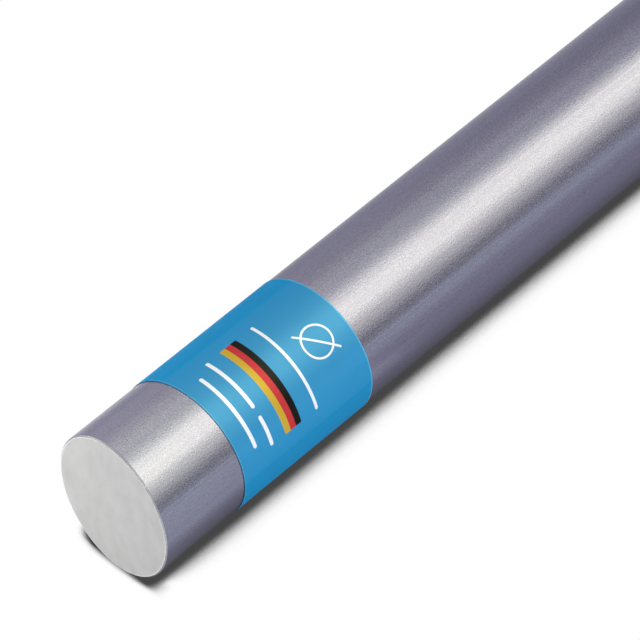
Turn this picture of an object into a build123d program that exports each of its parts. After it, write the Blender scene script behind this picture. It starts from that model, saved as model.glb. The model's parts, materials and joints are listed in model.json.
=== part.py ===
"""A length of bright round steel bar lying on its side, with a film label stuck round one end.

The bar runs along X, its labelled end towards -X, and it rests on the floor, Z = 0.
The origin is on the floor, under the middle of the bar.
"""

import os
from math import cos, degrees, radians, sin, tan

from build123d import *

# Bar stock, in millimetres and degrees
bar_diameter = 30.0
bar_length = 500.0  # overall, along its longest side
cut_lean = 6.0  # the saw wandered: how far the labelled end's face is out of square
cut_turn = 210.0  # which side was left longest, about the bar's axis from +Y towards the top
edge_break = 0.3  # the sharp rim of each sawn face is taken off with a file

# Label
label_inset = 20.0  # from the middle of the sawn face to the label's near edge
label_width = 36.0  # along the bar
label_thickness = 0.1
glue_thickness = 0.03  # between the bar and the label
label_gap = 8.0  # bare strip along the underside, between the label's two ends

# Worked out from the sizes above
bar_radius = bar_diameter / 2
near_face = -bar_length / 2 + bar_radius * tan(radians(cut_lean))
far_face = bar_length / 2
gap_angle = degrees(label_gap / bar_radius)
saw_waste = bar_diameter  # spare stock beyond the cut, which the saw takes off


def cross_section(x):
    """The plane square across the bar at x, centred on its axis, with its own X pointing up."""
    return Plane(origin=(x, 0, bar_radius), x_dir=(0, 0, 1), z_dir=(1, 0, 0))


def make_bar():
    """One solid: round stock sawn to length, a little out of square at the labelled end."""
    lean, turn = radians(cut_lean), radians(cut_turn)
    saw_cut = Plane(
        origin=(near_face, 0, bar_radius),
        z_dir=(cos(lean), sin(lean) * cos(turn), sin(lean) * sin(turn)),
    )
    with BuildPart() as bar:
        with BuildSketch(cross_section(far_face)):
            Circle(bar_radius)
        extrude(amount=-bar_length - saw_waste)
        split(bisect_by=saw_cut, keep=Keep.TOP)
        sawn_faces = bar.faces().filter_by(GeomType.PLANE)
        chamfer(sawn_faces.edges(), length=edge_break)
    bar.part.label = "bar"
    return bar


def make_label():
    """The film, bent round the bar from one side of the underside to the other."""
    with BuildPart() as label:
        with BuildSketch(cross_section(near_face + label_inset)):
            with BuildLine():
                CenterArc(
                    center=(0, 0),
                    radius=bar_radius + glue_thickness + label_thickness / 2,
                    start_angle=-180 + gap_angle / 2,
                    arc_size=360 - gap_angle,
                )
            trace(line_width=label_thickness)
        extrude(amount=label_width)
    label.part.label = "label"
    return label


os.makedirs("parts", exist_ok=True)
for piece in (make_bar(), make_label()):
    export_step(piece.part, f"parts/{piece.part.label}.step")
    print(piece.part.label, piece.part.bounding_box(), "volume", round(piece.part.volume))
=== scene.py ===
import json
import math

import bmesh
import bpy
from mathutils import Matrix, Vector


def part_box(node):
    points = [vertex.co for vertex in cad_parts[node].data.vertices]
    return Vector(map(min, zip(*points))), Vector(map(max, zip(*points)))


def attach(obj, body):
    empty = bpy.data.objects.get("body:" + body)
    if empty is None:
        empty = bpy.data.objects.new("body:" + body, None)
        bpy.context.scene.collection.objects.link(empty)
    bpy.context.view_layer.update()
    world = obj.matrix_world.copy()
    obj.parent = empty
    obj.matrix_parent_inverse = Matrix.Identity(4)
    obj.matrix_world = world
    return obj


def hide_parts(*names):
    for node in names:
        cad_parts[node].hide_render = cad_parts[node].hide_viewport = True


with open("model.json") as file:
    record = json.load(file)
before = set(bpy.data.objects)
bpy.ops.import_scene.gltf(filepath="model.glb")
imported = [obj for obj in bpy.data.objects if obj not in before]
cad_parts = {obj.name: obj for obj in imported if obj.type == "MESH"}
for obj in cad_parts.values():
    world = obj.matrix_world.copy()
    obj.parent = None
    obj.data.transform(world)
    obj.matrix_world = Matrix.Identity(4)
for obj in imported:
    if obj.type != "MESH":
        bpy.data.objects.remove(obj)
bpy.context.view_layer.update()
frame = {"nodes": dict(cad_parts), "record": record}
mounts = {mount["name"]: mount for mount in frame["record"]["mounts"]}
print("frame loaded:", sorted(frame["nodes"]))

mm = 0.001
labelLow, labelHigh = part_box("label")
barRadius = mounts["bar_outside"]["dims"]["r_mm"] * mm
axisHeight = mounts["bar_outside"]["pos_m"][2]
sawnFace = Vector(mounts["sawn_end"]["pos_m"])  # the middle of the labelled end's face
sawnNormal = Vector(mounts["sawn_end"]["axis"])
farFace = Vector(mounts["far_end"]["pos_m"])


def linear(hexColour):
    # an sRGB hex value as the linear colour that Blender works in
    channels = [int(hexColour[i:i + 2], 16) / 255 for i in (1, 3, 5)]
    return [c / 12.92 if c <= 0.04045 else ((c + 0.055) / 1.055) ** 2.4 for c in channels] + [1.0]


def addNode(tree, kind, inputs=(), **settings):
    # one node: its settings by name, and its inputs in order or by name, as values or as sockets to link
    node = tree.nodes.new(kind)
    for name, value in settings.items():
        setattr(node, name, value)
    for key, value in (inputs.items() if isinstance(inputs, dict) else enumerate(inputs)):
        if isinstance(value, bpy.types.NodeSocket):
            tree.links.new(value, node.inputs[key])
        else:
            node.inputs[key].default_value = value
    return node.outputs


def newMaterial(name):
    material = bpy.data.materials.new(name)
    material.use_nodes = True
    material.node_tree.nodes.clear()
    return material, material.node_tree


# Bright steel bar: centreless ground and oiled, so its sides mirror softly and its marks glitter

groundSteel = {
    "steel": "#6D6A80",
    "nearEndPaintedLight": "#706E83",  # the near end, painted a little lighter and less violet, as more light falls there
    "nearEndPaintedLength": 45 * mm,
    "roughness": 0.216,
    "edgeTint": "#D8D8E0",
    "grain": (0.20 * mm, 0.32 * mm, 0.32 * mm),  # a real grinding mark is 0.02 mm wide, too fine to show
    "grainShade": 0.44,  # how much the marks lighten and darken the steel
    "grainContrast": 0.7,
    "grainDepth": 0.05 * mm,
    "rollMarks": (90 * mm, 0.5 * mm, 0.5 * mm),  # long faint lines left by the straightening rolls
    "rollShade": 0.12,
    "dieLinesAndGlintSeen": (0.38, 0.62),  # the die's lines and the painted glint fade in over this stretch of the rolls' marks
    # degrees round the bar, width and brightness of each bright line: the first a painted glint along the
    # highlight's upper edge, the others lines that the drawing die left
    "dieLinesAndPaintedGlint": (
        (110.4, 0.32 * mm, 0.14),
        (148.5, 0.30 * mm, 0.16),
        (160.0, 0.25 * mm, 0.08),
        (171.0, 0.45 * mm, 0.07),
    ),
    "speckCell": 4.0 * mm,
    "speckSize": 0.13 * mm,
    "speckAbove": 0.5,  # of the cells, those whose chance is over this hold a nick
    "speckShade": 0.8,
    "filedEdgeHighlight": "#9E9EA2",  # the filed edges, painted lighter than the round as their highlight
    "filedFade": (0.03 * mm, 0.06 * mm),  # in from the round: where that starts, and where it is full
}


def groundSteelMaterial():
    # steel, centreless ground and lightly oiled: a soft mirror whose fine marks make its highlight glitter
    look = groundSteel
    material, tree = newMaterial("groundSteel")
    place = addNode(tree, "ShaderNodeTexCoord")["Object"]
    x, y, z = addNode(tree, "ShaderNodeSeparateXYZ", [place])
    patterns = []
    for size in (look["grain"], look["rollMarks"]):
        stretched = addNode(tree, "ShaderNodeMapping", {"Vector": place, "Scale": [1 / s for s in size]})[0]
        noise = addNode(tree, "ShaderNodeTexNoise", {
            "Vector": stretched, "Scale": 1.0, "Roughness": look["grainContrast"]})
        patterns.append(noise[0])
    marks, rolls = patterns
    shades = []
    for pattern, depth in ((marks, look["grainShade"]), (rolls, look["rollShade"])):
        shades.append(addNode(tree, "ShaderNodeMapRange", [pattern, 0.0, 1.0, 1 - depth, 1 + depth])[0])
    shade = addNode(tree, "ShaderNodeMath", shades, operation="MULTIPLY")[0]
    # the die's lines and the painted glint run along the bar and come and go with the rolls' marks
    seen = addNode(tree, "ShaderNodeMapRange", [rolls, *look["dieLinesAndGlintSeen"]])[0]
    up = addNode(tree, "ShaderNodeMath", [z, axisHeight], operation="SUBTRACT")[0]
    turn = addNode(tree, "ShaderNodeMath", [up, y], operation="ARCTAN2")[0]
    for at, width, strength in look["dieLinesAndPaintedGlint"]:
        off = addNode(tree, "ShaderNodeMath", [turn, math.radians(at)], operation="SUBTRACT")[0]
        off = addNode(tree, "ShaderNodeMath", [off], operation="ABSOLUTE")[0]
        line = addNode(tree, "ShaderNodeMapRange", [off, width / barRadius, 0.0, 0.0, strength])[0]
        shade = addNode(tree, "ShaderNodeMath", [line, seen, shade], operation="MULTIPLY_ADD")[0]
    # a few bright nicks, in about half of the cells
    cells = addNode(tree, "ShaderNodeTexVoronoi", {"Vector": place, "Scale": 1 / look["speckCell"]})
    chance = addNode(tree, "ShaderNodeSeparateColor", [cells["Color"]])[0]
    chosen = addNode(tree, "ShaderNodeMath", [chance, look["speckAbove"]], operation="GREATER_THAN")[0]
    nickSize = look["speckSize"] / look["speckCell"]
    nick = addNode(tree, "ShaderNodeMapRange", [
        cells["Distance"], nickSize, 0.0, 0.0, look["speckShade"]])[0]
    shade = addNode(tree, "ShaderNodeMath", [nick, chosen, shade], operation="MULTIPLY_ADD")[0]
    out = addNode(tree, "ShaderNodeCombineXYZ", [y, up])[0]
    out = addNode(tree, "ShaderNodeVectorMath", [out], operation="LENGTH")["Value"]
    # painted light: the steel's colour lightens towards the labelled end
    nearEndPainted = addNode(tree, "ShaderNodeMapRange", [x, sawnFace.x + look["nearEndPaintedLength"], sawnFace.x],
                    interpolation_type="SMOOTHSTEP")[0]
    steel = addNode(tree, "ShaderNodeMix", {
        0: nearEndPainted, 6: linear(look["steel"]), 7: linear(look["nearEndPaintedLight"])}, data_type="RGBA")[2]
    # painted highlight: the filed edges are mixed towards a lighter colour
    filedAt = [barRadius - depth for depth in look["filedFade"]]
    filed = addNode(tree, "ShaderNodeMapRange", [out, *filedAt])[0]
    steel = addNode(tree, "ShaderNodeMix", {0: filed, 6: steel, 7: linear(look["filedEdgeHighlight"])},
                    data_type="RGBA")[2]
    colour = addNode(tree, "ShaderNodeVectorMath", {"Vector": steel, "Scale": shade}, operation="SCALE")[0]
    bump = addNode(tree, "ShaderNodeBump", {
        "Strength": 1.0, "Distance": look["grainDepth"], "Height": marks})[0]
    surface = addNode(tree, "ShaderNodeBsdfPrincipled", {
        "Base Color": colour,
        "Metallic": 1.0,
        "Roughness": look["roughness"],
        "Specular Tint": linear(look["edgeTint"]),
        "Normal": bump,
    })
    addNode(tree, "ShaderNodeOutputMaterial", [surface[0]])
    return material


sawnSteel = {
    "steel": "#CCCBC6",
    "roughness": 0.7,  # torn so finely that it scatters light like a matte solid
    "gloss": 0.15,
    "mottle": (3 * mm, 2.8 * mm, 4.4 * mm),  # soft blotches, taller than wide
    "mottleShade": 0.12,
    "toothMarks": (6 * mm, 0.3 * mm, 6 * mm),
    "toothDepth": 0.003 * mm,
    "toothStrength": 0.6,
    "toothTurn": 12,  # degrees that the saw's marks lean on the face
    "pitCell": 2.6 * mm,
    "pitSize": 0.15 * mm,
    "pitAbove": 0.55,  # of the cells, those whose chance is over this hold a pit
    "pitShade": 0.35,
    "rim": "#F0F0F0",  # a thin painted highlight round the face's edge
    "rimWidth": 0.45 * mm,
    "rimFade": 0.045 * mm,
}


def sawnSteelMaterial():
    # steel, cold sawn and its edge filed: a matte pale face, softly blotched, with faint tooth marks
    # and a painted highlight round its edge
    look = sawnSteel
    material, tree = newMaterial("sawnSteel")
    place = addNode(tree, "ShaderNodeTexCoord")["Object"]
    patterns = []
    for size, lean in ((look["mottle"], 0), (look["toothMarks"], look["toothTurn"])):
        turned = addNode(tree, "ShaderNodeMapping", {
            "Vector": place, "Rotation": (math.radians(lean), 0, 0)})[0]
        stretched = addNode(tree, "ShaderNodeMapping", {
            "Vector": turned, "Scale": [1 / s for s in size]})[0]
        patterns.append(addNode(tree, "ShaderNodeTexNoise", {"Vector": stretched, "Scale": 1.0})[0])
    mottle, teeth = patterns
    depth = look["mottleShade"]
    shade = addNode(tree, "ShaderNodeMapRange", [mottle, 0.0, 1.0, 1 - depth, 1 + depth])[0]
    cells = addNode(tree, "ShaderNodeTexVoronoi", {"Vector": place, "Scale": 1 / look["pitCell"]})
    chance = addNode(tree, "ShaderNodeSeparateColor", [cells["Color"]])[0]
    chosen = addNode(tree, "ShaderNodeMath", [chance, look["pitAbove"]], operation="GREATER_THAN")[0]
    pitSize = look["pitSize"] / look["pitCell"]
    pit = addNode(tree, "ShaderNodeMapRange", [cells["Distance"], pitSize, 0.0, 0.0, -look["pitShade"]])[0]
    shade = addNode(tree, "ShaderNodeMath", [pit, chosen, shade], operation="MULTIPLY_ADD")[0]
    face = addNode(tree, "ShaderNodeVectorMath", {"Vector": linear(look["steel"])[:3], "Scale": shade},
                   operation="SCALE")[0]
    fromAxis = addNode(tree, "ShaderNodeVectorMath", [place, (0, 1, 1), (0, 0, -axisHeight)],
                       operation="MULTIPLY_ADD")[0]
    out = addNode(tree, "ShaderNodeVectorMath", [fromAxis], operation="LENGTH")["Value"]
    # a thin painted highlight just inside the face's edge
    rimStart = barRadius - look["rimWidth"]
    rim = addNode(tree, "ShaderNodeMapRange", [out, rimStart, rimStart + look["rimFade"]])[0]
    colour = addNode(tree, "ShaderNodeMix", {0: rim, 6: face, 7: linear(look["rim"])}, data_type="RGBA")[2]
    bump = addNode(tree, "ShaderNodeBump", {
        "Strength": look["toothStrength"], "Distance": look["toothDepth"], "Height": teeth})[0]
    surface = addNode(tree, "ShaderNodeBsdfPrincipled", {
        "Base Color": colour,
        "Roughness": look["roughness"],
        "Specular IOR Level": look["gloss"],
        "Normal": bump,
    })
    addNode(tree, "ShaderNodeOutputMaterial", [surface[0]])
    return material


# The bar's shape: a fine round, its near end in the saw's slanted plane, with a filed edge at each end

barShape = {
    "sides": 256,
    "rings": 40,
    "capRings": 12,
    "edgeBreak": 0.3 * mm,
    "sharpAngle": 30,
}


def barTree(groundMaterial, sawnMaterial):
    tree = bpy.data.node_groups.new("roundBar", "GeometryNodeTree")
    tree.interface.new_socket("Geometry", in_out="OUTPUT", socket_type="NodeSocketGeometry")
    for name, kind in (("Radius", "Float"), ("Near End", "Float"), ("Far End", "Float"),
                       ("Axis Height", "Float"), ("Slant", "Vector"), ("Edge Break", "Float"),
                       ("Sides", "Int"), ("Rings", "Int")):
        tree.interface.new_socket(name, in_out="INPUT", socket_type="NodeSocket" + kind)
    size = addNode(tree, "NodeGroupInput")
    capRings = barShape["capRings"]
    tiny = 0.01 * mm
    length = addNode(tree, "ShaderNodeMath", [size["Far End"], size["Near End"]], operation="SUBTRACT")[0]
    stock = addNode(tree, "GeometryNodeMeshCylinder", {
        "Vertices": size["Sides"], "Side Segments": size["Rings"], "Fill Segments": capRings,
        "Radius": size["Radius"], "Depth": length}, fill_type="TRIANGLE_FAN")
    # the stock stands on its end at the origin: it is laid down along X with its middle moved to its place
    at = addNode(tree, "GeometryNodeInputPosition")[0]
    height = addNode(tree, "ShaderNodeSeparateXYZ", [at])[2]
    radial = addNode(tree, "ShaderNodeVectorMath", [at, (1, 1, 0)], operation="MULTIPLY")[0]
    out = addNode(tree, "ShaderNodeVectorMath", [radial], operation="LENGTH")["Value"]
    farHeight = addNode(tree, "ShaderNodeMath", [length, 0.5], operation="MULTIPLY")[0]
    nearHeight = addNode(tree, "ShaderNodeMath", [length, -0.5], operation="MULTIPLY")[0]
    middle = addNode(tree, "ShaderNodeMath", [size["Near End"], farHeight], operation="ADD")[0]
    rimAt = addNode(tree, "ShaderNodeMath", [size["Radius"], 1 - 1 / capRings], operation="MULTIPLY")[0]
    atNear = addNode(tree, "ShaderNodeMath", [height, nearHeight, tiny], operation="COMPARE")[0]
    atFar = addNode(tree, "ShaderNodeMath", [height, farHeight, tiny], operation="COMPARE")[0]
    onRound = addNode(tree, "ShaderNodeMath", [out, size["Radius"], tiny], operation="COMPARE")[0]
    onRim = addNode(tree, "ShaderNodeMath", [out, rimAt, tiny], operation="COMPARE")[0]
    # each cap's outermost inner ring goes out to the filed edge
    inner = addNode(tree, "ShaderNodeMath", [size["Radius"], size["Edge Break"]], operation="SUBTRACT")[0]
    reach = addNode(tree, "ShaderNodeMath", [inner, rimAt], operation="DIVIDE")[0]
    stretch = addNode(tree, "ShaderNodeMapRange", [onRim, 0.0, 1.0, 1.0, reach])[0]
    across = addNode(tree, "ShaderNodeVectorMath", {
        "Vector": radial, "Scale": stretch}, operation="SCALE")[0]
    # the near end leans into the saw's plane, and the filed edges pull in from both faces
    slant = addNode(tree, "ShaderNodeVectorMath", [across, size["Slant"]], operation="DOT_PRODUCT")["Value"]
    along = addNode(tree, "ShaderNodeMath", [atNear, slant, height], operation="MULTIPLY_ADD")[0]
    inwards = addNode(tree, "ShaderNodeMath", [atNear, atFar], operation="SUBTRACT")[0]
    filed = addNode(tree, "ShaderNodeMath", [onRound, size["Edge Break"]], operation="MULTIPLY")[0]
    along = addNode(tree, "ShaderNodeMath", [inwards, filed, along], operation="MULTIPLY_ADD")[0]
    x = addNode(tree, "ShaderNodeMath", [along, middle], operation="ADD")[0]
    y, rise = addNode(tree, "ShaderNodeSeparateXYZ", [across])[:2]
    z = addNode(tree, "ShaderNodeMath", [rise, size["Axis Height"]], operation="ADD")[0]
    laid = addNode(tree, "ShaderNodeCombineXYZ", [x, y, z])[0]
    bar = addNode(tree, "GeometryNodeSetPosition", {"Geometry": stock["Mesh"], "Position": laid})[0]
    bar = addNode(tree, "GeometryNodeSetShadeSmooth", {"Geometry": bar, "Shade Smooth": True})[0]
    bar = addNode(tree, "GeometryNodeRealizeInstances", [bar])[0]
    bar = addNode(tree, "GeometryNodeSetMaterial", {"Geometry": bar, "Material": sawnMaterial})[0]
    # the round and its filed edges are ground steel: they lie further off the axis than the sawn faces
    axis = addNode(tree, "ShaderNodeCombineXYZ", {"Z": size["Axis Height"]})[0]
    offAxis = addNode(tree, "ShaderNodeVectorMath", [at, axis], operation="SUBTRACT")[0]
    offAxis = addNode(tree, "ShaderNodeVectorMath", [offAxis, (0, 1, 1)], operation="MULTIPLY")[0]
    offAxis = addNode(tree, "ShaderNodeVectorMath", [offAxis], operation="LENGTH")["Value"]
    outer = addNode(tree, "ShaderNodeMath", [offAxis, inner], operation="GREATER_THAN")[0]
    bar = addNode(tree, "GeometryNodeSetMaterial", {
        "Geometry": bar, "Selection": outer, "Material": groundMaterial})[0]
    addNode(tree, "NodeGroupOutput", [bar])
    return tree


def grow(name, tree, sizes, sharpAngle):
    # runs a Geometry Nodes tree with these sizes and gives its result as a plain mesh object
    carrier = bpy.data.objects.new(name + "Carrier", bpy.data.meshes.new(name + "Carrier"))
    bpy.context.scene.collection.objects.link(carrier)
    modifier = carrier.modifiers.new(name, "NODES")
    modifier.node_group = tree
    identifiers = {s.name: s.identifier for s in tree.interface.items_tree if s.in_out == "INPUT"}
    for label, value in sizes.items():
        modifier[identifiers[label]] = value
    evaluated = carrier.evaluated_get(bpy.context.evaluated_depsgraph_get())
    mesh = bpy.data.meshes.new_from_object(evaluated)
    carrier.modifiers.remove(modifier)
    bpy.data.objects.remove(carrier)
    for i in reversed(range(len(mesh.materials))):
        if mesh.materials[i] is None:
            mesh.materials.pop(index=i)  # the primitive's own empty slot
    mesh.set_sharp_from_angle(angle=math.radians(sharpAngle))
    mesh.name = name
    piece = bpy.data.objects.new(name, mesh)
    bpy.context.scene.collection.objects.link(piece)
    return piece


def makeBar():
    piece = grow("barSteel", barTree(groundSteelMaterial(), sawnSteelMaterial()), {
        "Radius": barRadius,
        "Near End": sawnFace.x,
        "Far End": farFace.x,
        "Axis Height": axisHeight,
        "Slant": (-sawnNormal.y / sawnNormal.x, -sawnNormal.z / sawnNormal.x, 0.0),
        "Edge Break": barShape["edgeBreak"],
        "Sides": barShape["sides"],
        "Rings": barShape["rings"],
    }, barShape["sharpAngle"])
    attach(piece, "root")
    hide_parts("bar")
    print("bar:", len(piece.data.polygons), "faces,", [m.name for m in piece.data.materials])


# The label: printed film, its ends stopping short of each other under the bar

labelShape = {
    "sides": 240,
    "rings": 12,
    "seat": 0.01 * mm,  # the film starts this far off the steel
    "printTurn": 122.0,  # degrees from +Y towards the top, where its print is centred
    "sharpAngle": 40,
}

labelFilm = {
    "blue": "#2691C4",
    "paintedEdgeShadow": "#2C5E7A",  # a painted shadow along the near edge
    "paintedEdgeShadowWidth": 0.12 * mm,
    # lighter bands at both edges of the film, painted as the highlight its edges catch
    "paintedEdgeHighlight": "#52B2DE",
    "paintedEdgeHighlightWidth": 0.26 * mm,
    "print": "#F2F7FA",
    "stripes": ("#CDA932", "#C6343A", "#060508"),  # from the near end outwards
    "stripeStart": 12.1 * mm,
    "stripeWidth": 1.48 * mm,  # of one colour
    "stripeLength": 21.5 * mm,
    "stripeCorner": 0.25 * mm,
    "crisp": 0.06 * mm,  # half the width over which a printed edge fades
    "roughness": 0.36,
    "gloss": 0.22,
    "inkGloss": 0.4,  # the share of it that the stripe's ink has
    "sheenLost": (0.22, 0.52),  # the matting in the lacquer takes its gloss away over these slants
    "pearl": 0.075,
    "wave": 6 * mm,
    "waveShade": 0.03,
}

# white marks on the film, in millimetres: plain bars, and the drawing sign for a round section
printedMarks = {
    "nearBar": {"along": 4.6, "size": (17.6, 0.85), "corner": 0.42},
    "nextShortBar": {"along": 8.4, "round": 7.4, "size": (6.6, 0.85), "corner": 0.42},
    "nextLongBar": {"along": 8.4, "round": -4.2, "size": (13.0, 0.85), "corner": 0.42},
    "farBar": {"along": 20.9, "size": (21.5, 0.7), "corner": 0.35},
    "ring": {"along": 28.2, "size": (7.2, 7.2), "corner": 3.6, "line": 0.42},
    "slash": {"along": 28.2, "size": (10.4, 0.42), "corner": 0.21, "lean": 45},
}


def roundedBox(tree, point, along, size, corner, lean=0, turned=0):
    # how far a point of the film is outside a rounded box, in metres; its middle is this far along and round
    local = addNode(tree, "ShaderNodeMapping", {
        "Vector": point, "Location": (turned, along, 0), "Rotation": (0, 0, math.radians(lean))},
        vector_type="TEXTURE")[0]
    local = addNode(tree, "ShaderNodeVectorMath", [local], operation="ABSOLUTE")[0]
    core = (size[0] / 2 - corner, size[1] / 2 - corner, 1.0)
    past = addNode(tree, "ShaderNodeVectorMath", [local, core], operation="SUBTRACT")[0]
    past = addNode(tree, "ShaderNodeVectorMath", [past, (0, 0, 0)], operation="MAXIMUM")[0]
    distance = addNode(tree, "ShaderNodeVectorMath", [past], operation="LENGTH")["Value"]
    return addNode(tree, "ShaderNodeMath", [distance, corner], operation="SUBTRACT")[0]


def filmMaterial(width):
    # vinyl film, gravure printed under a satin lacquer: even colour, a soft highlight, crisp print
    look = labelFilm
    material, tree = newMaterial("printedFilm")
    # metres round from the print's middle, and along
    point = addNode(tree, "ShaderNodeUVMap", uv_map="filmMetres")[0]
    along = addNode(tree, "ShaderNodeSeparateXYZ", [point])[1]
    crisp = look["crisp"]
    place = addNode(tree, "ShaderNodeTexCoord")["Object"]
    wave = addNode(tree, "ShaderNodeTexNoise", {"Vector": place, "Scale": 1 / look["wave"]})[0]
    depth = look["waveShade"]
    shade = addNode(tree, "ShaderNodeMapRange", [wave, 0.0, 1.0, 1 - depth, 1 + depth])[0]
    colour = addNode(tree, "ShaderNodeVectorMath", {
        "Vector": linear(look["blue"])[:3], "Scale": shade}, operation="SCALE")[0]
    # bands across the film, each from one distance along to another: painted highlights along its two edges
    # and a painted shadow at its near edge
    for start, end, tint in ((0.0, look["paintedEdgeHighlightWidth"], "paintedEdgeHighlight"),
                             (width - look["paintedEdgeHighlightWidth"], width, "paintedEdgeHighlight"),
                             (0.0, look["paintedEdgeShadowWidth"], "paintedEdgeShadow")):
        off = addNode(tree, "ShaderNodeMath", [along, (start + end) / 2], operation="SUBTRACT")[0]
        off = addNode(tree, "ShaderNodeMath", [off], operation="ABSOLUTE")[0]
        half = (end - start) / 2
        inside = addNode(tree, "ShaderNodeMapRange", [off, half + crisp, half - crisp])[0]
        colour = addNode(tree, "ShaderNodeMix", {
            0: inside, 6: colour, 7: linear(look[tint])}, data_type="RGBA")[2]
    # the tricolour stripe, as one box whose colour steps along the film
    stripeWidth = look["stripeWidth"] * len(look["stripes"])
    stripe = linear(look["stripes"][0])
    for i, tint in enumerate(look["stripes"][1:], start=1):
        step = look["stripeStart"] + i * look["stripeWidth"]
        past = addNode(tree, "ShaderNodeMapRange", [along, step - crisp, step + crisp])[0]
        stripe = addNode(tree, "ShaderNodeMix", {0: past, 6: stripe, 7: linear(tint)}, data_type="RGBA")[2]
    outside = roundedBox(tree, point, look["stripeStart"] + stripeWidth / 2,
                         (look["stripeLength"], stripeWidth), look["stripeCorner"])
    inside = addNode(tree, "ShaderNodeMapRange", [outside, crisp, -crisp])[0]
    colour = addNode(tree, "ShaderNodeMix", {0: inside, 6: colour, 7: stripe}, data_type="RGBA")[2]
    glossShare = addNode(tree, "ShaderNodeMapRange", [inside, 0.0, 1.0, 1.0, look["inkGloss"]])[0]
    for mark in printedMarks.values():
        size = [side * mm for side in mark["size"]]
        outside = roundedBox(tree, point, mark["along"] * mm, size, mark["corner"] * mm,
                             mark.get("lean", 0), mark.get("round", 0) * mm)
        if "line" in mark:
            half = mark["line"] * mm / 2
            outside = addNode(tree, "ShaderNodeMath", [outside, half], operation="ADD")[0]
            outside = addNode(tree, "ShaderNodeMath", [outside], operation="ABSOLUTE")[0]
            outside = addNode(tree, "ShaderNodeMath", [outside, half], operation="SUBTRACT")[0]
        inside = addNode(tree, "ShaderNodeMapRange", [outside, crisp, -crisp])[0]
        colour = addNode(tree, "ShaderNodeMix", {
            0: inside, 6: colour, 7: linear(look["print"])}, data_type="RGBA")[2]
    facing = addNode(tree, "ShaderNodeLayerWeight", {"Blend": 0.5})["Facing"]
    gloss = addNode(tree, "ShaderNodeMapRange", [facing, *look["sheenLost"], look["gloss"], 0.0])[0]
    gloss = addNode(tree, "ShaderNodeMath", [gloss, glossShare], operation="MULTIPLY")[0]
    surface = addNode(tree, "ShaderNodeBsdfPrincipled", {
        "Base Color": colour,
        "Metallic": look["pearl"],
        "Roughness": look["roughness"],
        "Specular IOR Level": gloss,
    })
    addNode(tree, "ShaderNodeOutputMaterial", [surface[0]])
    return material


def makeLabel():
    look = labelShape
    outer = labelHigh.z - axisHeight
    inner = barRadius + look["seat"]
    gapHalf = math.acos((axisHeight - labelLow.z) / outer)
    wrap = math.tau - 2 * gapHalf
    turns = [math.radians(-90) + gapHalf + wrap * i / look["sides"] for i in range(look["sides"] + 1)]
    places = [labelLow.x + (labelHigh.x - labelLow.x) * j / look["rings"] for j in range(look["rings"] + 1)]
    shape = bmesh.new()
    skins = []
    for radius in (inner, outer):
        ring = [(radius * math.cos(t), axisHeight + radius * math.sin(t)) for t in turns]
        skins.append([[shape.verts.new((x, y, z)) for x in places] for y, z in ring])
    last = len(places) - 1
    for i in range(look["sides"]):
        for j in range(last):
            for skin in skins:
                shape.faces.new([skin[i][j], skin[i][j + 1], skin[i + 1][j + 1], skin[i + 1][j]])
        for j in (0, last):
            shape.faces.new([skins[0][i][j], skins[1][i][j], skins[1][i + 1][j], skins[0][i + 1][j]])
    for i in (0, look["sides"]):
        for j in range(last):
            shape.faces.new([skins[0][i][j], skins[1][i][j], skins[1][i][j + 1], skins[0][i][j + 1]])
    bmesh.ops.recalc_face_normals(shape, faces=shape.faces)
    metres = shape.loops.layers.uv.new("filmMetres")
    printTurn = math.radians(look["printTurn"])
    for poly in shape.faces:
        poly.smooth = True
        for loop in poly.loops:
            x, y, z = loop.vert.co
            t = math.atan2(z - axisHeight, y)
            t = t if t >= math.radians(-90) else t + math.tau
            loop[metres].uv = ((t - printTurn) * outer, x - labelLow.x)
    mesh = bpy.data.meshes.new("labelFilm")
    shape.to_mesh(mesh)
    shape.free()
    mesh.set_sharp_from_angle(angle=math.radians(look["sharpAngle"]))
    mesh.materials.append(filmMaterial(labelHigh.x - labelLow.x))
    piece = bpy.data.objects.new("labelFilm", mesh)
    bpy.context.scene.collection.objects.link(piece)
    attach(piece, "root")
    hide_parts("label")
    print("label:", len(mesh.polygons), "faces")


# The studio: white paper under soft boxes, and the camera

studio = {
    "paperSize": 6.0,
    "paper": "#F2F2F2",
    "skyLight": "#BCBCC8",
    "skyStrength": 0.85,
    "shadowReach": 0.12,
    "shadowSamples": 32,
    "openness": (0.284, 0.479),  # how much open sky gives the darkest and the white paper
    "contactReach": 5 * mm,
    "contactSamples": 16,
    "contactOpenness": (0.5, 0.72),  # the same for a last dark line where steel and paper meet
    "mirroredOpenness": (0.29, 0.85),  # the same as the steel's gloss sees it, soft and wide
    "darkest": 0.06,
    # the shadow's form round the sawn end is painted on the paper and no lamp makes it
    "endReach": 5 * mm,  # over this length behind the saw's plane the shadow is darkened, to keep its tone
    "endDarkening": 0.23,
    "clearFrom": (-1.1 * mm, 0.7 * mm),  # behind the saw's plane: clear paper, and the whole shadow
    "clearTurn": Vector((0, -0.05, 0)),  # turns that edge a little from the saw's plane
    "farSide": (4 * mm, 14 * mm),  # from the bar's middle towards +Y, where the shadow is narrower
    "farSideOpen": 0.2,
    "glowHeight": 0.2 * mm,  # of the glows, off the paper
}

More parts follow.
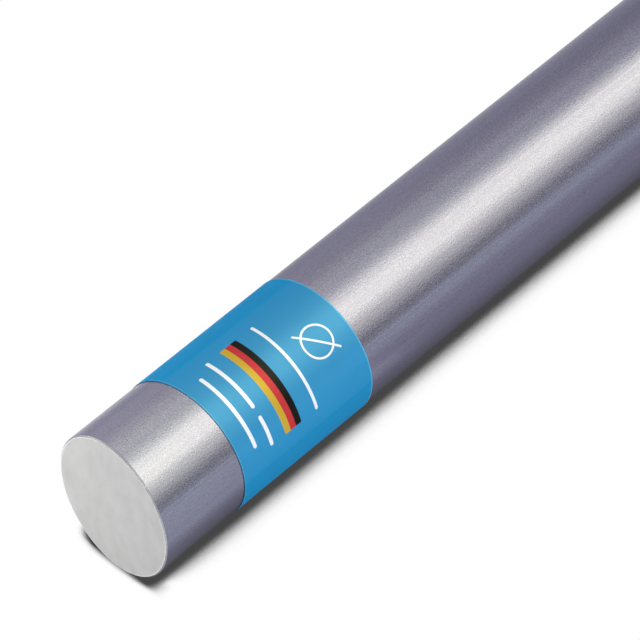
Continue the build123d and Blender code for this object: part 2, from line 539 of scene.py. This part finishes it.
# each box hangs beside the bar, at degrees from +Y towards the top and from one x to another
softBoxes = {
    "keyBox": {"turns": (95, 131.5), "along": (-1.3, 1.3), "away": 1.03,
               "radiance": 3.6, "colour": "#FCFFCD"},
    "keyTop": {"turns": (84, 95), "along": (-1.3, 1.3), "away": 1.03,
               "radiance": 2.3, "colour": "#F6FFCC"},
    "keySkirt": {"turns": (131.5, 155), "along": (-1.3, 1.3), "away": 1.05,
                 "radiance": 1.2, "colour": "#F8FFC8"},
    "keyHem": {"turns": (52, 83), "along": (-0.9, 0.62), "away": 1.05,
               "radiance": 0.25, "colour": "#D8FFE0"},
    "nearHem": {"turns": (46, 83), "along": (-0.9, 0.40), "away": 1.1,
                "radiance": 1.6, "colour": "#FFFFC8"},
    "nearFill": {"turns": (0, 46), "along": (-0.9, 0.42), "away": 1.1,
                 "radiance": 0.75, "colour": "#FFFFD9"},
    "lowCard": {"turns": (169, 190), "along": (-0.4, 0.6), "away": 0.14,
                "radiance": 0.65, "colour": "#E4FFE4"},
}

# flat glows on the paper beside the near end, from one x to another and one y to another
paperGlows = {
    "nearGlow": {"along": (-0.36, -0.17), "across": (-0.12, -0.027),
                 "radiance": 0.33, "colour": "#E8FFE8"},
    "backGlow": {"along": (-0.36, -0.17), "across": (0.035, 0.12),
                 "radiance": 0.3, "colour": "#FFFFE6"},
}

# these light what is matte, the film and the sawn face, and stay out of the steel's mirror
matteLamps = {
    "keyLight": {"turns": (85, 165), "along": (-0.24, 1.3), "away": 1.1,
                 "radiance": 0.7, "colour": "#FFFFFF"},
    "sideLight": {"turns": (170, 186), "along": (-0.24, 1.3), "away": 1.1,
                  "radiance": 3.2, "colour": "#FFFFFF"},
    "backLight": {"turns": (-6, 10), "along": (-0.24, 1.3), "away": 1.1,
                  "radiance": 2.0, "colour": "#FFFFFF"},
}

faceFill = {"place": (-0.335, 0.11, 0.055), "size": 0.06, "watts": 0.115}

# dark and grey cards that only the steel mirrors, placed as the boxes are
cards = {
    "blackFlag": {"turns": (158.8, 166.4), "along": (-1.3, 1.3), "away": 0.98, "glow": 0.01},
    "greyCard": {"turns": (-1, 48), "along": (0.52, 1.7), "away": 1.0, "glow": 0.72},
}


def addLamp(name, centre, direction, size, watts, colour, mirrored):
    lamp = bpy.data.lights.new(name, "AREA")
    lamp.shape, lamp.size, lamp.size_y = "RECTANGLE", size[0], size[1]
    lamp.color = linear(colour)[:3]
    lamp.energy = watts
    holder = bpy.data.objects.new(name, lamp)
    bpy.context.scene.collection.objects.link(holder)
    holder.location = centre
    holder.rotation_mode = "QUATERNION"
    holder.rotation_quaternion = direction.to_track_quat("-Z", "Y")
    holder.visible_camera = False
    holder.visible_glossy = mirrored
    holder.visible_diffuse = not mirrored


def makeLamps():
    for group, mirrored in ((softBoxes, True), (matteLamps, False)):
        for name, box in group.items():
            start, end = (math.radians(turn) for turn in box["turns"])
            width = 2 * box["away"] * math.tan((end - start) / 2)
            length = box["along"][1] - box["along"][0]
            out = Vector((0, math.cos((start + end) / 2), math.sin((start + end) / 2)))
            centre = out * box["away"] + Vector((sum(box["along"]) / 2, 0, axisHeight))
            watts = 4 * box["radiance"] * width * length  # for that radiance at every point of the box
            addLamp(name, centre, -out, (length, width), watts, box["colour"], mirrored)
    for name, glow in paperGlows.items():
        length, width = (glow[key][1] - glow[key][0] for key in ("along", "across"))
        centre = Vector((sum(glow["along"]) / 2, sum(glow["across"]) / 2, studio["glowHeight"]))
        watts = 4 * glow["radiance"] * width * length
        addLamp(name, centre, Vector((0, 0, 1)), (length, width), watts, glow["colour"], True)
    place = Vector(faceFill["place"])
    size = (faceFill["size"], faceFill["size"])
    addLamp("faceFill", place, sawnFace - place, size, faceFill["watts"], "#FFFFFF", False)
    print("lamps:", len(softBoxes) + len(paperGlows) + len(matteLamps) + 1)


def makeSheet(name, corners):
    mesh = bpy.data.meshes.new(name)
    mesh.from_pydata(corners, [], [(0, 1, 2, 3)])
    sheet = bpy.data.objects.new(name, mesh)
    bpy.context.scene.collection.objects.link(sheet)
    material, tree = newMaterial(name)
    mesh.materials.append(material)
    return sheet, tree


def paperTone(tree, sky):
    # how bright the camera sees the paper: dark where little sky reaches it, clear in front of the saw's plane
    near = addNode(tree, "ShaderNodeAmbientOcclusion", {"Distance": studio["contactReach"]},
                   samples=studio["contactSamples"])["AO"]
    place = addNode(tree, "ShaderNodeTexCoord")["Object"]
    offset = addNode(tree, "ShaderNodeVectorMath", [place, sawnFace], operation="SUBTRACT")[0]
    behind = addNode(tree, "ShaderNodeVectorMath", [offset, -sawnNormal], operation="DOT_PRODUCT")["Value"]
    fuller = addNode(tree, "ShaderNodeMapRange", [
        behind, 0.0, studio["endReach"], studio["endDarkening"], 0.0], interpolation_type="SMOOTHSTEP")[0]
    across = addNode(tree, "ShaderNodeSeparateXYZ", [place])["Y"]
    farSide = addNode(tree, "ShaderNodeMapRange", [
        across, *studio["farSide"], 0.0, studio["farSideOpen"]])[0]
    deep = addNode(tree, "ShaderNodeMath", [sky, fuller], operation="SUBTRACT")[0]
    deep = addNode(tree, "ShaderNodeMath", [deep, farSide])[0]
    shades = []
    for openness, ends in ((deep, "openness"), (near, "contactOpenness")):
        shades.append(addNode(tree, "ShaderNodeMapRange", [
            openness, *studio[ends], studio["darkest"], 1.0], interpolation_type="SMOOTHSTEP")[0])
    darker = addNode(tree, "ShaderNodeMath", shades, operation="MINIMUM")[0]
    pastEnd = addNode(tree, "ShaderNodeVectorMath", [offset, -sawnNormal - studio["clearTurn"]],
                      operation="DOT_PRODUCT")["Value"]
    clear = addNode(tree, "ShaderNodeMapRange", [pastEnd, *studio["clearFrom"], 1.0, 0.0],
                    interpolation_type="SMOOTHSTEP")[0]
    return addNode(tree, "ShaderNodeMapRange", [clear, 0.0, 1.0, darker, 1.0])[0]


def makePaper():
    half = studio["paperSize"] / 2
    corners = [(-half, -half, 0), (half, -half, 0), (half, half, 0), (-half, half, 0)]
    tree = makeSheet("whitePaper", corners)[1]
    lit = addNode(tree, "ShaderNodeBsdfDiffuse", [linear(studio["paper"])])[0]
    sky = addNode(tree, "ShaderNodeAmbientOcclusion", {"Distance": studio["shadowReach"]},
                  samples=studio["shadowSamples"])["AO"]
    tone = paperTone(tree, sky)
    white = addNode(tree, "ShaderNodeEmission", {"Strength": tone})[0]
    mirrored = addNode(tree, "ShaderNodeMapRange", [
        sky, *studio["mirroredOpenness"], studio["darkest"], 1.0])[0]
    mirrored = addNode(tree, "ShaderNodeEmission", {"Strength": mirrored})[0]
    path = addNode(tree, "ShaderNodeLightPath")
    gloss = addNode(tree, "ShaderNodeMath", [path["Is Glossy Ray"], path["Is Transmission Ray"]],
                    operation="MAXIMUM")[0]
    mixed = addNode(tree, "ShaderNodeMixShader", [gloss, lit, mirrored])[0]
    mixed = addNode(tree, "ShaderNodeMixShader", [path["Is Camera Ray"], mixed, white])[0]
    addNode(tree, "ShaderNodeOutputMaterial", [mixed])


def makeCards():
    # the black one is the gap between two soft boxes, which draws the dark line down the bar
    for name, card in cards.items():
        turns = [math.radians(turn) for turn in card["turns"]]
        low, high = [(card["away"] * math.cos(t), axisHeight + card["away"] * math.sin(t)) for t in turns]
        start, end = card["along"]
        sheet, tree = makeSheet(name, [(start, *low), (end, *low), (end, *high), (start, *high)])
        glow = addNode(tree, "ShaderNodeEmission", {"Strength": card["glow"]})[0]
        addNode(tree, "ShaderNodeOutputMaterial", [glow])
        sheet.visible_camera = sheet.visible_diffuse = sheet.visible_shadow = False


def makeSky():
    world = bpy.data.worlds.new("studioSky")
    bpy.context.scene.world = world
    world.use_nodes = True
    tree = world.node_tree
    tree.nodes.clear()
    path = addNode(tree, "ShaderNodeLightPath")
    seen = addNode(tree, "ShaderNodeMath", [path["Is Glossy Ray"], path["Is Transmission Ray"]],
                   operation="MAXIMUM")[0]
    seen = addNode(tree, "ShaderNodeMath", [path["Is Camera Ray"], seen], operation="MAXIMUM")[0]
    light = addNode(tree, "ShaderNodeBackground", [linear(studio["skyLight"]), studio["skyStrength"]])[0]
    white = addNode(tree, "ShaderNodeBackground", [linear("#FFFFFF"), 1.0])[0]
    mixed = addNode(tree, "ShaderNodeMixShader", [seen, light, white])[0]
    addNode(tree, "ShaderNodeOutputWorld", [mixed])


cameraView = {
    "azimuth": -48.16,
    "elevation": 46.09,
    "distance": 979.8 * mm,
    "aimPastSawnFace": 57.9 * mm,
    "aimHeight": 20.5 * mm,
    "lens": 287.8,
}


def makeCamera():
    camera = bpy.data.cameras.new("camera")
    camera.lens = cameraView["lens"]
    camera.clip_start, camera.clip_end = 0.01, 50
    holder = bpy.data.objects.new("camera", camera)
    bpy.context.scene.collection.objects.link(holder)
    turn, rise = math.radians(cameraView["azimuth"]), math.radians(cameraView["elevation"])
    back = Vector((math.sin(turn) * math.cos(rise), -math.cos(turn) * math.cos(rise), math.sin(rise)))
    aim = Vector((sawnFace.x + cameraView["aimPastSawnFace"], 0, cameraView["aimHeight"]))
    holder.location = aim + back * cameraView["distance"]
    holder.rotation_mode = "QUATERNION"
    holder.rotation_quaternion = (-back).to_track_quat("-Z", "Y")
    bpy.context.scene.camera = holder


makeCamera()
makeSky()
makePaper()
makeCards()
makeLamps()
print("studio ready")
makeBar()
makeLabel()

bpy.context.scene.view_settings.view_transform = "Standard"
